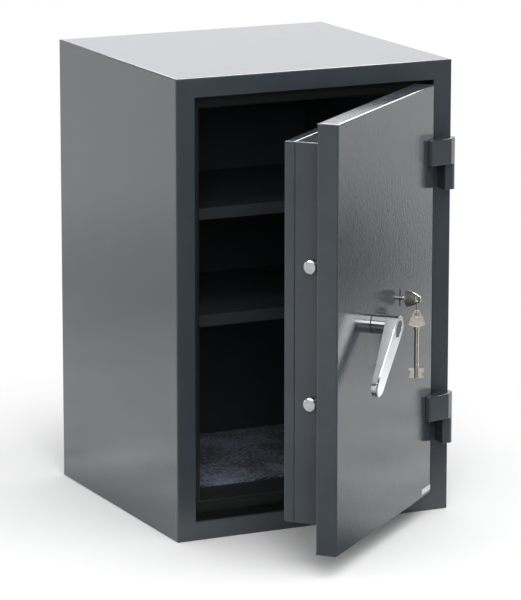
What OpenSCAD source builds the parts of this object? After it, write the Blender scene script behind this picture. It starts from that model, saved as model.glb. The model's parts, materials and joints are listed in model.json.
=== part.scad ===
// Free-standing fire-resistant safe with a hinged door, a key lock and a lever handle.
// The origin is the centre of the underside of the cabinet, +Z is up and -Y is the front.
// The door, the boltwork and the lock are drawn closed, and then turned open round the hinge pins.

/* [Cabinet] */
// Width of the cabinet
body_w = 450; // [380:1:620]
// Depth of the cabinet
body_d = 432; // [360:1:560]
// Height of the cabinet
body_h = 690; // [600:1:900]
// Thickness of the outer steel shell
shell_sheet = 3; // [2:0.5:4]
// Radius of the folded outer edges
fold_r = 2.5; // [1:0.5:4]
// Width of the front flange at each side
flange_side = 30; // [26:1:40]
// Width of the front flange at the top and the bottom
flange_end = 29; // [26:1:40]
// Width of the inner lip behind the door slab
lip = 22; // [18:1:26]
// Thickness of the steel of the rebate frame
frame_sheet = 3; // [2:0.5:4]
// Thickness of the steel liner
liner_sheet = 2; // [1.5:0.5:3]
// Thickness of the back wall
back_wall = 47; // [40:1:70]

/* [Door] */
// Angle at which the door stands open
door_open = 41.4; // [0:0.1:110]
// Thickness of the door slab
slab = 32; // [28:1:44]
// Gap round the door slab
door_gap = 4; // [3:0.5:6]
// Clearance between the door slab and the lip
slab_clear = 2; // [1.5:0.5:4]
// Thickness of the steel of the door slab
door_sheet = 3; // [2:0.5:4]
// Depth of the bolt box behind the slab
box_depth = 63; // [60:1:80]
// Depth of the rear cover of the bolt box
cover_depth = 16; // [10:1:20]
// Thickness of the steel of the bolt box
box_sheet = 2; // [1.5:0.5:3]
// Inset of the bolt box at the free edge
box_inset_free = 33.5; // [32:0.5:45]
// Inset of the bolt box at the hinge edge
box_inset = 24.5; // [22:0.5:30]
// Inset of the bolt box at the top and the bottom
box_inset_end = 34.5; // [24:0.5:40]

/* [Hinges] */
// Distance of the hinge axis from the side of the cabinet
hinge_in = 13; // [11:1:16]
// Distance of the hinge axis from the front face
hinge_out = 15; // [12:1:18]
// Radius of the hinge knuckles
knuckle_r = 10; // [8.5:0.5:11]
// Diameter of the hinge pins
hinge_pin_d = 12; // [8:1:13]
// Height of each hinge block and each hinge leaf
knuckle_h = 38.5; // [25:0.5:50]
// Height of the split of the lower hinge
lower_hinge_z = 148; // [100:0.5:200]
// Height of the split of the upper hinge
upper_hinge_z = 537; // [460:0.5:560]

/* [Boltwork] */
// Diameter of the locking bolts
bolt_d = 20; // [14:1:24]
// Height of the middle of the boltwork
bolt_mid_z = 345; // [300:1:400]
// Distance between the two moving bolts
bolt_pitch = 200; // [170:1:260]
// Clearance between the door slab and the bolts
bolt_clear = 11; // [10:0.5:14]
// How far the withdrawn bolts stand out of the bolt box
bolt_proud = 8; // [4:0.5:9]
// Travel of the locking bolts
bolt_throw = 20; // [14:1:22]
// How far the fixed dog bolts of the hinge side stand out
dog_proud = 12.5; // [8:0.5:13]

/* [Lever handle] */
// Distance of the handle axis from the free edge of the door
handle_in = 141; // [120:1:180]
// Height of the handle axis
handle_z = 344.5; // [330:0.5:360]
// Angle of the lever from straight down, towards the free edge
lever_angle = 45; // [30:1:60]
// Angle through which the handle turns
handle_sweep = 80; // [60:1:90]
// Distance from the handle axis to the centre of the lever's end
lever_length = 105; // [80:1:140]
// Radius of the lever's head and neck
lever_head_r = 15.5; // [13:0.5:18]
// Radius of the lever's end
lever_tip_r = 13.5; // [9:0.5:15]
// How far the lever's front face stands out
lever_proud = 40; // [34:1:50]
// Thickness of the lever at the head
lever_head_t = 20; // [14:0.5:24]
// Thickness of the lever at the end
lever_tip_t = 9.5; // [7:0.5:14]

/* [Lock and keys] */
// Distance of the keyhole from the free edge of the door
key_in = 246; // [232:1:260]
// Height of the keyhole
key_z = 362; // [356:0.5:372]
// How far the inserted key reaches behind the door slab
key_reach = 37.5; // [34:0.5:44]
// Length of the key's bow
bow_length = 25; // [20:0.5:28]
// Width of the key's bow
bow_width = 24.5; // [20:0.5:28]
// How far the inserted key stands out
key_proud = 31.5; // [30:0.5:34]
// Width across the two bits of the key
bit_span = 22.5; // [18:0.5:24]
// Length of the bits of the key
bit_length = 15; // [10:0.5:16]
// Diameter of the key's shaft
key_shaft_d = 6.5; // [5:0.5:7]
// Mean diameter of the key ring
ring_d = 18.5; // [17:0.5:24]
// Diameter of the wire of the key ring
ring_wire = 1.8; // [1.2:0.1:2]
// Angle of the ring to the door
ring_tilt = 22; // [0:1:30]
// Travel of the lock's own bolt
lock_throw = 10; // [6:0.5:10]

/* [Compartment] */
// Height between the slots of the shelf rails
rail_pitch = 27; // [20:1:40]
// Slot that carries the lower shelf
lower_shelf_slot = 8; // [4:1:9]
// Slot that carries the upper shelf
upper_shelf_slot = 14; // [11:1:16]
// Thickness of the shelf steel
shelf_sheet = 1.5; // [1:0.5:2]
// Height of the folded front lip of a shelf
shelf_lip = 17.5; // [12:0.5:24]
// Distance of the shelves behind the front face
shelf_front = 100; // [98:1:130]
// Distance of the felt mat behind the front face
felt_front = 96; // [96:1:120]
// Thickness of the felt mat
felt_t = 4; // [2:0.5:6]
// Diameter of the bore of an anchor sleeve
anchor_d = 14; // [10:1:16]
// Distance between the two anchor sleeves
anchor_pitch = 180; // [120:1:240]

/* [Hidden] */
$fn = 48;
e = 1;                                   // how far a cutter runs past the face that it cuts
run = 0.05;                              // radial clearance of a running fit
free = 0.3;                              // clearance of a loose sliding fit

paint = [0.23, 0.25, 0.27];
dark_paint = [0.13, 0.14, 0.15];
steel = [0.66, 0.67, 0.69];
chrome = [0.86, 0.87, 0.89];

// Cabinet
rebate = slab + slab_clear;              // depth of the rebate that takes the door slab
open_x = body_w / 2 - flange_side;       // half width of the front opening
open_lo = flange_end;                    // bottom of the front opening
open_hi = body_h - flange_end;           // top of the front opening
room_x = open_x - lip;                   // half width of the compartment
room_lo = open_lo + lip;                 // floor of the compartment
room_hi = open_hi - lip;                 // ceiling of the compartment
room_front = rebate + frame_sheet;       // front of the liner
room_back = body_d - back_wall;          // back of the compartment
base_rim = 24;                           // width of the shell's folded rim round the base plate
seal_w = 14;
seal_t = 1.5;

// Door, closed
door_x = open_x - door_gap;
door_lo = open_lo + door_gap;
door_hi = open_hi - door_gap;
free_x = -door_x;                        // free edge of the door
box_lo_x = free_x + box_inset_free;
box_hi_x = door_x - box_inset;
box_lo_z = door_lo + box_inset_end;
box_hi_z = door_hi - box_inset_end;
box_back = slab + box_depth;
box_seam = box_back - cover_depth;
plate_front = slab - door_sheet;         // front of the plate that closes the slab
bush_wall = 3;
hard_x = 45;                             // reach of the hard plate beyond the handle and the keyhole
hard_z = [60, 50];                       // reach of the hard plate below and above them
label_size = [35, 8];
label_in = [2, 6];                       // distance of the label from the corner of the door
label_t = 0.4;
post_in = 26;                            // distance of the cover's posts from the edges of the box
post_mid = 130;                          // height of the middle posts above the middle of the boltwork
post_r = 6;
screw_r = 2.5;
screw_l = 12;
screw_head_r = 5;
screw_head_t = 2.4;

// Hinges
hinge_x = body_w / 2 - hinge_in;
hinge_y = -hinge_out;
washer_t = 1;
leaf_reach = 46;                         // how far a leaf reaches from the axis along the door
leaf_flat = 13;                          // width of the raised flat beside the axis
leaf_edge = 7;                           // thickness of a leaf at its far edge
leaf_gap = 1;                            // clearance between a leaf and the front flange
pin_end = 4;                             // wall left at each end of a hinge pin

// Boltwork
bolt_y = slab + bolt_clear + bolt_d / 2;
bolt_z = [bolt_mid_z - bolt_pitch / 2, bolt_mid_z + bolt_pitch / 2];
dog_z = [bolt_mid_z - bolt_pitch, bolt_mid_z, bolt_mid_z + bolt_pitch];
bolt_chamfer = 1.5;
dog_base = 14;                           // length of a dog bolt inside the bolt box
cup_wall = 2;
cup_r = bolt_d / 2 + 2;                  // radius of a strike cup's bore
cup_depth = bolt_throw + bolt_proud - (room_x + box_lo_x) + 4;
pocket_depth = box_hi_x + dog_proud - room_x + 4;
pocket_half = bolt_d / 2 + 3;
bar_w = 16;                              // section of the bar that carries the bolts
bar_x = box_lo_x + bolt_throw + 17.5;    // free side of the bar when the bolts are withdrawn
bar_y = bolt_y - bar_w / 2;
plate_t = 4;                             // thickness of the drive plate
plate_y = bar_y + bar_w;
bush_length = 10;
stud_r = 4;                              // a stud's neck, on which the drive plate slides
stud_base_r = 7;
stud_head_r = 8;
stud_head_t = 2.5;
stud_up = 12;                            // height of the studs above the lower edge of the drive plate

// Handle
handle_x = free_x + handle_in;
spindle_d = 12;
spindle_end = bolt_y + 5;
crank_t = 8;
crank_hub_r = 11;
crank_pin_d = 8;
crank_r = bolt_throw / 2 / sin(handle_sweep / 2);   // centre distance of the crank pin
crank_slot_play = 0.5;                   // room at each side of the crank pin
inset_a = 14;                            // half length of the oval inset of the lever
inset_b = 9.2;                           // half width of the oval inset
inset_depth = 1.6;
inset_proud = 1.2;                       // thickness of the inset
inset_drop = lever_head_r * 0.3;         // distance of the inset's middle below the handle axis
neck_gap = 0.3;
clip_groove_d = 0.6;                     // depth of the groove that takes the spindle's clip
spring_clip_w = 3.6;
spring_clip_t = 1.1;
crank_pin_over = 3;                      // how far the crank pin reaches past the drive plate
crank_wall = 3;

// Lock
key_x = free_x + key_in;
key_length = key_proud + slab + key_reach;
lock_half = 35;                          // half width of the lock case
lock_lo = key_z - 32;
lock_hi = key_z + 56;
lock_wall = 2.5;
lock_back = slab + key_reach + 2;        // inside of the lock cover
lock_bolt_w = 14;
lock_bolt_t = 8;
lock_bolt_y = plate_y + plate_t / 2;
lock_bolt_hi = key_z - bit_span / 2 - 4;
lock_bolt_lo = lock_lo - 2;
notch_w = lock_bolt_w + 1;
notch_depth = lock_throw + 1;
tongue_hi = lock_bolt_lo - 2;            // top edge of the drive plate's tongue
tongue_lo = tongue_hi - 30;
tongue_end = key_x + bolt_throw + notch_w / 2 + 9;
plate_hi = handle_z + crank_r + crank_pin_d / 2 + 8;
plate_end = handle_x + 34;
guide_r = 14.5;                          // outer radius of the tube that guides the key
key_play = 0.75;
slot_w = 4.6;                            // width of the keyhole's slot
bit_t = 3;                               // thickness of the bits
bow_t = 2.6;
bow_tip = 4.4;                           // half width of the bow at its narrow end
bow_slot = [2.6, 7.2];                   // reach of the slot from the narrow end
bow_slot_half = [3.1, 4.5];              // half width of the slot at its two ends
collar_l = 3;
ring_y = -key_proud + (bow_slot[0] + bow_slot[1]) / 2 + 0.3;
ring_top = key_z - 2.6;                  // the wire's centre where it passes through the inserted key
ring_mid = ring_top - ring_d / 2;
spare_slot_gap = 0.3;                    // play between the wire and the spare key
spare_top = ring_mid - ring_d / 2 + ring_wire / 2 + spare_slot_gap + bow_slot[0];
lever_count = 6;
lever_t = 1.2;
lever_step = 2.2;
lever_window = bit_span / 2 + 2;
lever_drop = 6;                          // reach of a lock lever below the key axis
lever_pivot = [20, 16];                  // hole for the pivot, from the key axis and from the lever's top
lever_pivot_r = 3;
lock_screw_in = 8;
lock_screw_r = 4;
lock_screw_t = 2.5;
bit_steps = [0.2, 0.3, 0.44, 0.62, 0.78];  // places of the steps of the bits, as shares of their length
bit_cuts = [1, 2, 2.4];                  // depths of the steps
bow_base = 0.86;                         // share of the bow's length that its curve takes
bow_bulge = 1.15;                        // fullness of the bow's curve
bow_cap = 1.2;                           // height of the bow's rounded narrow end

// Compartment
rail_w = 20;
rail_t = 2;
rail_lo = room_lo + 19;
rail_hi = room_hi - 19;
rail_first = rail_lo + 26.5;
rail_count = floor((rail_hi - rail_first - 8) / rail_pitch) + 1;
rail_y = [room_front + 93, room_back - 50];
slot_h = 4;
slot_y = 10;
clip_t = 2;
clip_reach = 12;
clip_w = 16;
side_play = 0.7;
shelf_back = room_back - 3;
shelf_hem = 9;
sleeve_wall = 3;

function rail_slot(i) = rail_first + i * rail_pitch;
function arc(c, r, a0, a1, n) =
    [for (i = [0:n]) let (a = a0 + (a1 - a0) * i / n) [c[0] + r * cos(a), c[1] + r * sin(a)]];

// ---------- placing and shared shapes ----------

// Cabinet drawings have y = 0 at the front face
module in_cabinet() translate([0, -body_d / 2, 0]) children();

// Door drawings are closed, and this turns them open
module on_door()
    in_cabinet() translate([hinge_x, hinge_y, 0]) rotate([0, 0, door_open])
        translate([-hinge_x, -hinge_y, 0]) children();

// A box given by its low and high corners
module block(lo, hi) translate(lo) cube(hi - lo);

// Rounds along Z, X and Y, from one corner to another
module rod_z(x, y, z0, z1, r) translate([x, y, z0]) cylinder(h = z1 - z0, r = r);
module rod_y(x, z, y0, y1, r) translate([x, y0, z]) rotate([-90, 0, 0]) cylinder(h = y1 - y0, r = r);
module rod_x(y, z, x0, x1, r) translate([x0, y, z]) rotate([0, 90, 0]) cylinder(h = x1 - x0, r = r);

// A rectangle with round corners
module soft_rect(lo, hi, r)
    polygon(concat(arc([hi[0] - r, hi[1] - r], r, 0, 90, 8), arc([lo[0] + r, hi[1] - r], r, 90, 180, 8),
                   arc([lo[0] + r, lo[1] + r], r, 180, 270, 8), arc([hi[0] - r, lo[1] + r], r, 270, 360, 8)));

// A folded steel box: the four edges that run back and the edges round the front are rounded
module folded_box(lo, hi, r)
    intersection() {
        translate([0, hi[1], 0]) rotate([90, 0, 0]) linear_extrude(hi[1] - lo[1])
            soft_rect([lo[0], lo[2]], [hi[0], hi[2]], r);
        translate([0, 0, lo[2]]) linear_extrude(hi[2] - lo[2])
            soft_rect([lo[0], lo[1]], [hi[0], hi[1] + 2 * r], r);
        translate([lo[0], 0, 0]) rotate([90, 0, 90]) linear_extrude(hi[0] - lo[0])
            soft_rect([lo[1], lo[2]], [hi[1] + 2 * r, hi[2]], r);
    }

// Cutter that rounds one inner edge of the front opening, along X
module edge_cove(length, r)
    rotate([90, 0, 90]) linear_extrude(length) difference() {
        translate([-e, -e]) square(r + e);
        translate([r, r]) circle(r);
    }

// The keyhole: a round hole for the shaft and a slot for the two bits
module keyhole_outline() {
    circle(key_shaft_d / 2 + key_play);
    square([slot_w, bit_span + 2], center = true);
}

module keyhole(y0, y1)
    translate([key_x, y1, key_z]) rotate([90, 0, 0]) linear_extrude(y1 - y0) keyhole_outline();

// ---------- cabinet ----------

module outer_shell()
    color(paint) in_cabinet() difference() {
        folded_box([-body_w / 2, 0, 0], [body_w / 2, body_d, body_h], fold_r);
        block([-body_w / 2 + shell_sheet, shell_sheet, shell_sheet],
              [body_w / 2 - shell_sheet, body_d + e, body_h - shell_sheet]);
        block([-open_x, -e, open_lo], [open_x, shell_sheet + e, open_hi]);
        // the opening is folded too, so its front edge is round
        translate([-open_x, 0, open_lo]) mirror([0, 0, 1]) edge_cove(2 * open_x, fold_r / 2);
        translate([-open_x, 0, open_hi]) edge_cove(2 * open_x, fold_r / 2);
        for (s = [0, 1]) mirror([s, 0, 0])
            translate([open_x, 0, open_hi]) rotate([0, 90, 0]) edge_cove(open_hi - open_lo, fold_r / 2);
        block([-body_w / 2 + base_rim, base_rim, -e],
              [body_w / 2 - base_rim, body_d - base_rim, shell_sheet + e]);
    }

// The bottom of the cabinet, welded into the folded rim of the shell
module base_plate()
    color(paint) in_cabinet() difference() {
        block([-body_w / 2 + base_rim, base_rim, 0], [body_w / 2 - base_rim, body_d - base_rim, shell_sheet]);
        anchor_holes(anchor_d / 2 + sleeve_wall);
    }

module anchor_holes(r)
    for (s = [-1, 1]) rod_z(s * anchor_pitch / 2, body_d / 2, -e, room_lo + e, r);

module rear_panel()
    color(paint) in_cabinet()
        block([-body_w / 2 + shell_sheet, body_d - shell_sheet, shell_sheet],
              [body_w / 2 - shell_sheet, body_d, body_h - shell_sheet]);

module wall_fill()
    color([0.72, 0.71, 0.68]) in_cabinet() difference() {
        block([-body_w / 2 + shell_sheet, shell_sheet, shell_sheet],
              [body_w / 2 - shell_sheet, body_d - shell_sheet, body_h - shell_sheet]);
        block([-open_x - frame_sheet, 0, open_lo - frame_sheet],
              [open_x + frame_sheet, room_front, open_hi + frame_sheet]);
        block([-room_x - liner_sheet, 0, room_lo - liner_sheet],
              [room_x + liner_sheet, room_back + liner_sheet, room_hi + liner_sheet]);
        for (z = bolt_z) rod_x(bolt_y, z, -room_x - liner_sheet - cup_depth, -room_x, cup_r + cup_wall);
        for (z = dog_z) dog_pocket_space(z, cup_wall, 0);
        anchor_holes(anchor_d / 2 + sleeve_wall);
    }

module rebate_frame()
    color(paint) in_cabinet() difference() {
        block([-open_x - frame_sheet, shell_sheet, open_lo - frame_sheet],
              [open_x + frame_sheet, room_front, open_hi + frame_sheet]);
        block([-open_x, 0, open_lo], [open_x, rebate, open_hi]);
        block([-room_x, 0, room_lo], [room_x, room_front + e, room_hi]);
    }

module fire_seal()
    color([0.08, 0.08, 0.08]) in_cabinet() {
        edge = (lip - seal_w) / 2;
        difference() {
            block([-room_x - edge - seal_w, rebate - seal_t, room_lo - edge - seal_w],
                  [room_x + edge + seal_w, rebate, room_hi + edge + seal_w]);
            block([-room_x - edge, 0, room_lo - edge], [room_x + edge, rebate + e, room_hi + edge]);
        }
    }

// The sides, the ceiling and the back of the compartment, folded from one sheet
module inner_liner()
    color(dark_paint) in_cabinet() difference() {
        block([-room_x - liner_sheet, room_front, room_lo],
              [room_x + liner_sheet, room_back + liner_sheet, room_hi + liner_sheet]);
        block([-room_x, room_front - e, room_lo - e], [room_x, room_back, room_hi]);
        for (z = bolt_z) rod_x(bolt_y, z, -room_x - liner_sheet - e, -room_x + e, cup_r);
        for (z = dog_z) dog_pocket_space(z, 0, e);
    }

module floor_plate()
    color(dark_paint) in_cabinet() difference() {
        block([-room_x - liner_sheet, room_front, room_lo - liner_sheet],
              [room_x + liner_sheet, room_back + liner_sheet, room_lo]);
        anchor_holes(anchor_d / 2 + sleeve_wall);
    }

module strike_cups()
    color(steel) in_cabinet() for (z = bolt_z) difference() {
        rod_x(bolt_y, z, -room_x - liner_sheet - cup_depth, -room_x - liner_sheet, cup_r + cup_wall);
        rod_x(bolt_y, z, -room_x - liner_sheet - cup_depth + cup_wall, -room_x, cup_r);
    }

// The hollow that takes one dog bolt, grown by a wall, from the compartment outwards
module dog_pocket_space(z, wall, inward)
    block([room_x - inward, bolt_y - pocket_half - wall, z - pocket_half - wall],
          [room_x + pocket_depth + wall, bolt_y + pocket_half + wall, z + pocket_half + wall]);

module dog_pockets()
    color(steel) in_cabinet() for (z = dog_z) difference() {
        intersection() {
            dog_pocket_space(z, cup_wall, 0);
            block([room_x + liner_sheet, 0, 0], [body_w, body_d, body_h]);
        }
        dog_pocket_space(z, 0, e);
    }

module anchor_sleeves()
    color(steel) in_cabinet() for (s = [-1, 1]) difference() {
        rod_z(s * anchor_pitch / 2, body_d / 2, 0, room_lo, anchor_d / 2 + sleeve_wall);
        rod_z(s * anchor_pitch / 2, body_d / 2, -e, room_lo + e, anchor_d / 2);
    }

// ---------- compartment ----------

module shelf_rails()
    color(dark_paint) in_cabinet() for (s = [0, 1], y = rail_y) mirror([s, 0, 0]) difference() {
        block([room_x - rail_t, y - rail_w / 2, rail_lo], [room_x, y + rail_w / 2, rail_hi]);
        for (i = [0:rail_count - 1])
            block([room_x - rail_t - e, y - slot_y / 2, rail_slot(i) - slot_h / 2],
                  [room_x + e, y + slot_y / 2, rail_slot(i) + slot_h / 2]);
    }

module shelf_clips()
    color(steel) in_cabinet()
        for (s = [0, 1], y = rail_y, i = [lower_shelf_slot, upper_shelf_slot]) mirror([s, 0, 0]) {
            x = room_x - rail_t;
            z = rail_slot(i);
            block([x - clip_reach, y - clip_w / 2, z - clip_t / 2], [x, y + clip_w / 2, z + clip_t / 2]);
            block([x - clip_t, y - clip_w / 2, z - clip_reach], [x, y + clip_w / 2, z]);
            block([x - e, y - slot_y / 2 + free, z - clip_t / 2],
                  [room_x - free, y + slot_y / 2 - free, z + clip_t / 2]);
        }

// A shelf is one folded sheet: a front lip with a hem, and a short lip at the back
module shelf(slot) {
    top = rail_slot(slot) + clip_t / 2 + shelf_sheet;
    half = room_x - rail_t - side_play;
    t = shelf_sheet;
    color(dark_paint) in_cabinet() translate([-half, 0, top]) rotate([90, 0, 90]) linear_extrude(2 * half)
        polygon([[shelf_front, -shelf_lip], [shelf_front + shelf_hem, -shelf_lip],
                 [shelf_front + shelf_hem, -shelf_lip + t], [shelf_front + t, -shelf_lip + t],
                 [shelf_front + t, -t], [shelf_back - t, -t], [shelf_back - t, -shelf_lip / 2],
                 [shelf_back, -shelf_lip / 2], [shelf_back, 0], [shelf_front, 0]]);
}

module lower_shelf() shelf(lower_shelf_slot);
module upper_shelf() shelf(upper_shelf_slot);

module floor_felt()
    color([0.42, 0.45, 0.5]) in_cabinet()
        block([-room_x + 2, felt_front, room_lo], [room_x - 2, room_back - 2, room_lo + felt_t]);

// ---------- hinges ----------

// Outline of the block that is welded to the front flange
module hinge_block_outline() {
    translate([hinge_x, hinge_y]) circle(knuckle_r);
    translate([hinge_x - knuckle_r, hinge_y - knuckle_r]) square([knuckle_r, knuckle_r + hinge_out]);
    translate([hinge_x - knuckle_r, hinge_y]) square([2 * knuckle_r, hinge_out]);
}

// Outline of the leaf that is welded to the door, in the closed position
module hinge_leaf_outline() {
    translate([hinge_x, hinge_y]) circle(knuckle_r);
    polygon([[hinge_x - leaf_reach, 0], [hinge_x - leaf_reach, -leaf_edge],
             [hinge_x - leaf_flat, hinge_y - knuckle_r], [hinge_x, hinge_y - knuckle_r],
             [hinge_x, -leaf_gap], [door_x, -leaf_gap], [door_x, 0]]);
}

module hinge_block(z)
    color(paint) in_cabinet() difference() {
        translate([0, 0, z - knuckle_h]) linear_extrude(knuckle_h) hinge_block_outline();
        rod_z(hinge_x, hinge_y, z - knuckle_h + pin_end, z + e, hinge_pin_d / 2);
    }

module hinge_leaf(z)
    color(paint) on_door() difference() {
        translate([0, 0, z + washer_t]) linear_extrude(knuckle_h) hinge_leaf_outline();
        rod_z(hinge_x, hinge_y, z - e, z + washer_t + knuckle_h - pin_end, hinge_pin_d / 2 + run);
    }

module hinge_pin(z)
    color(steel) in_cabinet()
        rod_z(hinge_x, hinge_y, z - knuckle_h + pin_end,
              z + washer_t + knuckle_h - pin_end - free, hinge_pin_d / 2);

module lower_hinge_block() hinge_block(lower_hinge_z);
module upper_hinge_block() hinge_block(upper_hinge_z);
module lower_hinge_leaf() hinge_leaf(lower_hinge_z);
module upper_hinge_leaf() hinge_leaf(upper_hinge_z);
module lower_hinge_pin() hinge_pin(lower_hinge_z);
module upper_hinge_pin() hinge_pin(upper_hinge_z);

module hinge_washers()
    color([0.72, 0.6, 0.32]) in_cabinet() for (z = [lower_hinge_z, upper_hinge_z]) difference() {
        rod_z(hinge_x, hinge_y, z, z + washer_t - run, knuckle_r - 0.5);
        rod_z(hinge_x, hinge_y, z - e, z + washer_t + e, hinge_pin_d / 2 + run);
    }

// ---------- door slab ----------

module door_skin()
    color(paint) on_door() difference() {
        folded_box([free_x, 0, door_lo], [door_x, slab, door_hi], fold_r);
        block([free_x + door_sheet, door_sheet, door_lo + door_sheet],
              [door_x - door_sheet, slab + e, door_hi - door_sheet]);
        rod_y(handle_x, handle_z, -e, door_sheet + e, spindle_d / 2 + bush_wall);
        keyhole(-e, door_sheet + e);
    }

module hard_plate_block()
    block([handle_x - hard_x, door_sheet, handle_z - hard_z[0]],
          [key_x + hard_x, 2 * door_sheet, key_z + hard_z[1]]);

module hard_plate()
    color([0.4, 0.4, 0.42]) on_door() difference() {
        hard_plate_block();
        rod_y(handle_x, handle_z, 0, slab, spindle_d / 2 + bush_wall);
        rod_y(key_x, key_z, 0, slab, guide_r);
    }

module door_fill()
    color([0.72, 0.71, 0.68]) on_door() difference() {
        block([free_x + door_sheet, door_sheet, door_lo + door_sheet],
              [door_x - door_sheet, plate_front, door_hi - door_sheet]);
        hard_plate_block();
        rod_y(handle_x, handle_z, 0, slab, spindle_d / 2 + bush_wall);
        rod_y(key_x, key_z, 0, slab, guide_r);
    }

module door_back_plate()
    color(paint) on_door() difference() {
        block([free_x + door_sheet, plate_front, door_lo + door_sheet],
              [door_x - door_sheet, slab, door_hi - door_sheet]);
        rod_y(handle_x, handle_z, 0, slab + e, spindle_d / 2 + bush_wall);
        rod_y(key_x, key_z, 0, slab + e, guide_r);
    }

module spindle_bush()
    color([0.72, 0.6, 0.32]) on_door() difference() {
        rod_y(handle_x, handle_z, 0, slab, spindle_d / 2 + bush_wall);
        rod_y(handle_x, handle_z, -e, slab + e, spindle_d / 2 + run);
    }

module key_guide()
    color(steel) on_door() difference() {
        rod_y(key_x, key_z, door_sheet, slab, guide_r);
        keyhole(0, slab + e);
    }

module blank_label()
    color([0.75, 0.76, 0.77]) on_door()
        block([door_x - label_in[0] - label_size[0], -label_t, door_lo + label_in[1]],
              [door_x - label_in[0], 0, door_lo + label_in[1] + label_size[1]]);

// ---------- bolt box ----------

module bolt_box()
    color(paint) on_door() difference() {
        block([box_lo_x, slab, box_lo_z], [box_hi_x, box_seam, box_hi_z]);
        block([box_lo_x + box_sheet, slab - e, box_lo_z + box_sheet],
              [box_hi_x - box_sheet, box_seam + e, box_hi_z - box_sheet]);
        for (z = bolt_z) rod_x(bolt_y, z, box_lo_x - e, box_lo_x + box_sheet + e, bolt_d / 2 + free);
        for (z = dog_z) rod_x(bolt_y, z, box_hi_x - box_sheet - e, box_hi_x + e, bolt_d / 2);
    }

module bolt_box_cover()
    color(paint) on_door() difference() {
        block([box_lo_x, box_seam, box_lo_z], [box_hi_x, box_back, box_hi_z]);
        block([box_lo_x + box_sheet, box_seam - e, box_lo_z + box_sheet],
              [box_hi_x - box_sheet, box_back - box_sheet, box_hi_z - box_sheet]);
        at_cover_posts() rod_y(0, 0, box_seam, box_back + e, screw_r + 0.5);
    }

module at_cover_posts()
    for (x = [box_lo_x + post_in, box_hi_x - post_in],
         z = [box_lo_z + post_in, bolt_mid_z + post_mid, box_hi_z - post_in])
        translate([x, 0, z]) children();

module cover_posts()
    color(steel) on_door() at_cover_posts() difference() {
        rod_y(0, 0, slab, box_back - box_sheet, post_r);
        rod_y(0, 0, box_back - screw_l, box_back, screw_r);
    }

module cover_screws()
    color(steel) on_door() at_cover_posts() {
        rod_y(0, 0, box_back - screw_l, box_back + 0.5, screw_r);
        rod_y(0, 0, box_back, box_back + screw_head_t, screw_head_r);
    }

module chamfered_bolt(y, z, x0, x1, r)
    translate([x0, y, z]) rotate([0, 90, 0]) {
        cylinder(h = bolt_chamfer, r1 = r - bolt_chamfer, r2 = r);
        translate([0, 0, bolt_chamfer]) cylinder(h = x1 - x0 - bolt_chamfer, r = r);
    }

module dog_bolts()
    color(steel) on_door() for (z = dog_z) mirror([1, 0, 0])
        chamfered_bolt(bolt_y, z, -box_hi_x - dog_proud, -box_hi_x + dog_base, bolt_d / 2);

module bolt_bushes()
    color([0.72, 0.6, 0.32]) on_door() for (z = bolt_z) difference() {
        rod_x(bolt_y, z, box_lo_x + box_sheet, box_lo_x + box_sheet + bush_length, bolt_d / 2 + bush_wall);
        rod_x(bolt_y, z, box_lo_x, box_lo_x + box_sheet + bush_length + e, bolt_d / 2 + run);
    }

// Studs on the door plate that carry the drive plate and let it slide
stud_at = [[handle_x - 35, tongue_lo + stud_up], [handle_x + 50, tongue_lo + stud_up]];

module guide_studs()
    color(steel) on_door() for (p = stud_at) {
        rod_y(p[0], p[1], slab, plate_y - run, stud_base_r);
        rod_y(p[0], p[1], slab, plate_y + plate_t + run, stud_r);
        rod_y(p[0], p[1], plate_y + plate_t + run, plate_y + plate_t + stud_head_t, stud_head_r);
    }

// ---------- moving boltwork ----------

module locking_bolts()
    color(chrome) on_door() for (z = bolt_z)
        chamfered_bolt(bolt_y, z, box_lo_x - bolt_proud, bar_x, bolt_d / 2);

module bolt_bar()
    color(steel) on_door()
        block([bar_x, bar_y, bolt_z[0] - bolt_d], [bar_x + bar_w, bar_y + bar_w, bolt_z[1] + bolt_d]);

module drive_plate()
    color(steel) on_door() difference() {
        union() {
            block([bar_x, plate_y, tongue_lo], [plate_end, plate_y + plate_t, plate_hi]);
            block([bar_x, plate_y, tongue_lo], [tongue_end, plate_y + plate_t, tongue_hi]);
        }
        // upright slot for the crank pin
        for (z = [crank_r * cos(handle_sweep / 2), crank_r])
            rod_y(handle_x + bolt_throw / 2, handle_z + z, plate_y - e, plate_y + plate_t + e,
                  crank_pin_d / 2 + crank_slot_play);
        block([handle_x + bolt_throw / 2 - crank_pin_d / 2 - crank_slot_play, plate_y - e,
               handle_z + crank_r * cos(handle_sweep / 2)],
              [handle_x + bolt_throw / 2 + crank_pin_d / 2 + crank_slot_play, plate_y + plate_t + e,
               handle_z + crank_r]);
        // level slots for the guide studs
        for (p = stud_at) {
            for (x = [0, bolt_throw])
                rod_y(p[0] + x, p[1], plate_y - e, plate_y + plate_t + e, stud_r + free);
            block([p[0], plate_y - e, p[1] - stud_r - free],
                  [p[0] + bolt_throw, plate_y + plate_t + e, p[1] + stud_r + free]);
        }
        // notches for the lock's bolt, one for the withdrawn and one for the thrown position
        for (x = [0, bolt_throw])
            block([key_x + x - notch_w / 2, plate_y - e, tongue_hi - notch_depth],
                  [key_x + x + notch_w / 2, plate_y + plate_t + e, tongue_hi + e]);
    }

// ---------- lever handle ----------

// Drawings of the handle have their axis at x = 0, z = 0, and the lever points straight down
module on_handle(a) on_door() translate([handle_x, 0, handle_z]) rotate([0, a, 0]) children();

module lever_plan()
    polygon(concat(arc([0, 0], lever_head_r, 0, 180, 24),
                   arc([0, -lever_length], lever_tip_r, 180, 360, 20)));

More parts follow.
